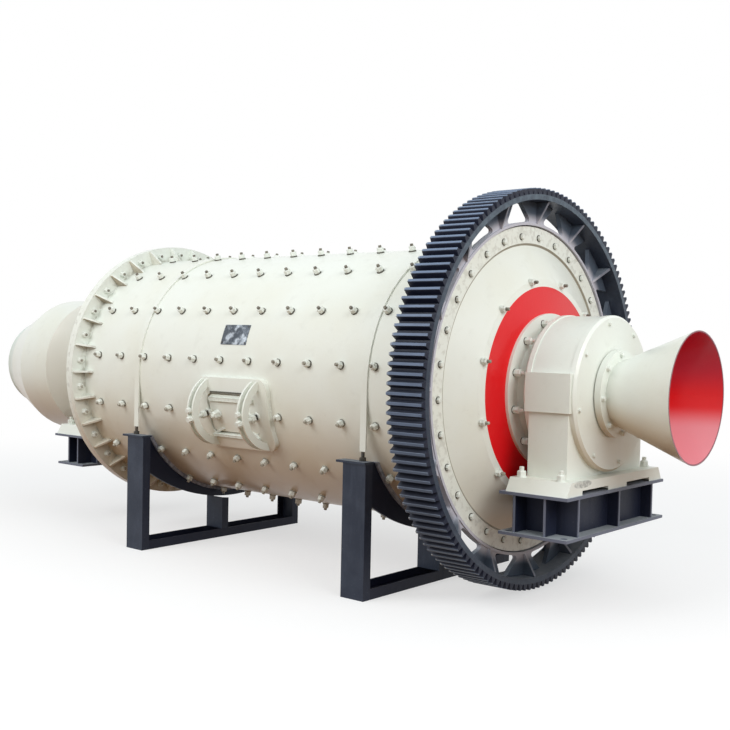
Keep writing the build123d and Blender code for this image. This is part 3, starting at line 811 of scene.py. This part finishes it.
# Manhole: bars, a dark strip of painted shade round the door, and the jack bolts that hold it
DOOR_TOP = 792
FRAME_TOP = 800
BOW_X = (MANHOLE_X - 210, MANHOLE_X + 205)
BOW_BACK = 929.3
for name, reach, low, high, seat, height, finish in (
        ("door_top_bar", 180, -8.9, -7.5, DOOR_TOP, 14, nut_paint),
        ("door_bottom_bar", 193, -24.2, -23.25, FRAME_TOP, 12, nut_paint),
        # The dark strip is painted shade in the gap above the door.
        ("door_gap_shade", 167, -5.6, -4.95, FRAME_TOP, 3, shade_rubber)):
    bar = curved_slab(MANHOLE_X - reach, MANHOLE_X + reach, low, high, seat, seat + height,
                      steps=2, edge=height / 7)
    add_piece(name, bar, "drum", (finish,))
repeat("door_latch_bars", latch_bar,
       [on_curve(MANHOLE_X + 141 * side, DOOR_TOP, -22.0, -23 * side) for side in (-1, 1)], "drum")
repeat("jack_bolts", jack_bolt, [on_curve(x, DOOR_TOP, MANHOLE_ANGLE, 12) for x in BOW_X], "drum")
repeat("bow_back_nuts", back_nut, [on_curve(x, BOW_BACK - 3, MANHOLE_ANGLE + 3.1, 20) for x in BOW_X], "drum")
repeat("door_nuts", door_nut,
       [on_curve(MANHOLE_X + 128 * side, DOOR_TOP, MANHOLE_ANGLE - 0.4, 8) for side in (-1, 1)], "drum")

# Strap rods: a nut on each anchor cap
ROD_X = (625, 2500)
ROD_Y = 774.7
CAP_TOP = -373
repeat("strap_rod_nuts", rod_nut,
       [on_top(x, side * ROD_Y, CAP_TOP, 15) for x in ROD_X for side in (-1, 1)], "frame")

# Floor and backdrop
FLOOR_HALF = 60             # metres
FLOOR_FADE = (2.5, 8.0)     # metres from the middle, where the ground starts and ends fading to white
floor_shape = bmesh.new()
bmesh.ops.create_grid(floor_shape, x_segments=1, y_segments=1, size=FLOOR_HALF)
floor_mesh = bpy.data.meshes.new("floor")
floor_shape.to_mesh(floor_mesh)
floor_shape.free()
floor = bpy.data.objects.new("floor", floor_mesh)
bpy.context.scene.collection.objects.link(floor)


def floor_paint(name):
    """Pale ground that fades to white away from the mill and throws brown light up at it, as a yard does."""
    coat = Finish(name)
    level = coat.node("BsdfDiffuse", inputs={"Color": FLOOR_PALE})
    white = coat.node("Emission", inputs={"Color": WHITE, "Strength": 1.0})
    x, y, _ = coat.parts(coat.place)
    from_middle = (x * x + y * y).maths("SQRT")
    pale = coat.node("MixShader", inputs={0: from_middle.ramp(*FLOOR_FADE, 0.58, 1.0), 1: level, 2: white})
    yard = coat.node("BsdfDiffuse", inputs={"Color": YARD_BROWN})
    return coat.end(coat.node("MixShader", inputs={0: coat.seen_directly(), 1: yard, 2: pale}))


def sky_light(name, strength):
    """A cool sky that lights the mill and is seen as plain white."""
    sky = Nodes(bpy.data.worlds.new(name))
    cool = sky.node("Background", inputs={"Color": SKY_COOL, "Strength": strength})
    backdrop = sky.node("Background", inputs={"Color": WHITE, "Strength": 1.0})
    seen = sky.node("MixShader", inputs={0: sky.seen_directly(), 1: cool, 2: backdrop})
    return sky.end(seen, "OutputWorld")


def soft_lamp(name, place, towards, width, height, power):
    """A soft rectangular lamp; places and sizes are in metres, the power in watts."""
    lamp = bpy.data.lights.new(name, "AREA")
    lamp.shape, lamp.size, lamp.size_y, lamp.energy = "RECTANGLE", width, height, power
    lamp_object = bpy.data.objects.new(name, lamp)
    bpy.context.scene.collection.objects.link(lamp_object)
    aim = Vector(towards) - Vector(place)
    lamp_object.matrix_world = Matrix.Translation(place) @ aim.to_track_quat("-Z", "Y").to_matrix().to_4x4()


floor.data.materials.append(floor_paint("pale_floor"))
bpy.context.scene.world = sky_light("sky", strength=0.69)
soft_lamp("side_lamp", place=(-1.5, -6.5, 5.2), towards=(0, 0, 1.0), width=5, height=4, power=250)
soft_lamp("end_lamp", place=(8.5, -2.0, 5.5), towards=(1.5, 0, 1.1), width=5, height=4, power=365)

# Camera, fitted to the photo: its place in metres, and its right and up directions
PHOTO_WIDTH = 730                       # pixels, and its height too
FOCAL_LENGTH = 1023.329                 # pixels
AXIS_PIXEL_X, AXIS_PIXEL_Y = 425, 377   # where the camera's axis meets the photo
SENSOR_WIDTH = 36
CAMERA_PLACE = (4.7724, -4.6844, 1.3261)
CAMERA_RIGHT = Vector((0.78804, 0.61520, 0.02260))
CAMERA_UP = Vector((-0.03947, 0.01387, 0.99912))
camera_data = bpy.data.cameras.new("camera")
camera_data.sensor_width = SENSOR_WIDTH
camera_data.lens = FOCAL_LENGTH * SENSOR_WIDTH / PHOTO_WIDTH
camera_data.shift_x = (PHOTO_WIDTH / 2 - AXIS_PIXEL_X) / PHOTO_WIDTH
camera_data.shift_y = (AXIS_PIXEL_Y - PHOTO_WIDTH / 2) / PHOTO_WIDTH
camera_data.clip_end = 200
camera = bpy.data.objects.new("camera", camera_data)
bpy.context.scene.collection.objects.link(camera)
camera_axes = Matrix((CAMERA_RIGHT, CAMERA_UP, CAMERA_RIGHT.cross(CAMERA_UP))).transposed()
camera.matrix_world = Matrix.Translation(CAMERA_PLACE) @ camera_axes.to_4x4()
bpy.context.scene.camera = camera
bpy.context.scene.view_settings.view_transform = "Standard"
